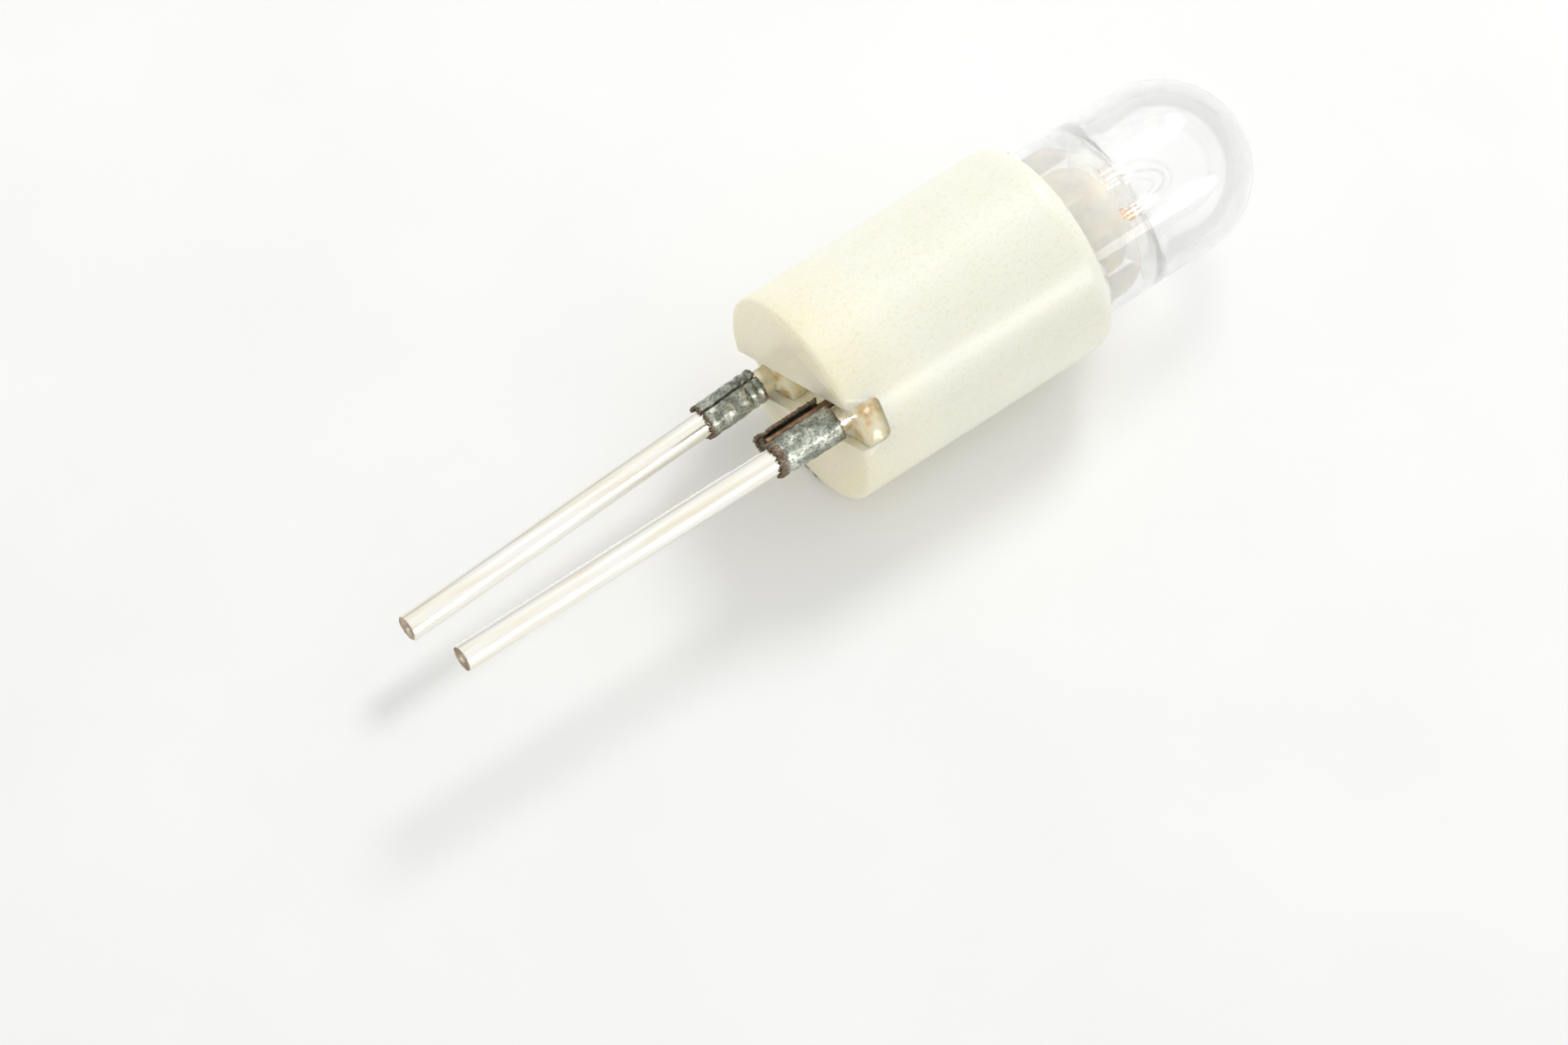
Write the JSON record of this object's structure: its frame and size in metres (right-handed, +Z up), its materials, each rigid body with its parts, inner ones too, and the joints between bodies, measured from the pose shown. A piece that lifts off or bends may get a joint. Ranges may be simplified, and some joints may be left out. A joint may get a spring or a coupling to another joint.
{
  "type": "miniature incandescent bulb",
  "caption": "Miniature incandescent bulb with a clear glass dome, a round ivory plastic base and long contact pins.",
  "frame": {"origin": "on the floor under the middle of the lamp's length, below the axis of its base", "axes": "+X along the lamp's axis from the pins' tips to the bulb's dome, +Z up with the base lying on its side"},
  "size_m": [0.0274, 0.0064, 0.0063],
  "materials": {
    "nylon_shell": "ivory moulded nylon, slightly translucent, satin",
    "bulb_glass": "clear blown glass",
    "seal_glass": "clear glass with a tan cast",
    "lead_wire": "copper-sheathed wire, oxidised brown",
    "filament": "dull tungsten",
    "basing_cement": "whitish cement",
    "pin_metal": "bright silvery plating with a pale gold cast",
    "sleeve_metal": "sheet metal, tarnished dark grey with rusty stains",
    "resin": "amber set resin"
  },
  "bodies": {
    "root": {"base_shell": "nylon_shell", "glass_envelope": "bulb_glass", "glass_stem": "seal_glass", "filament": "filament", "basing_cement": "basing_cement", "pin_near": "pin_metal", "pin_far": "pin_metal", "lead_wire_near": "lead_wire", "lead_wire_far": "lead_wire", "crimp_sleeve_near": "sleeve_metal", "crimp_sleeve_far": "sleeve_metal", "resin_drop_near": "resin", "resin_drop_far": "resin"}
  },
  "joints": []
}
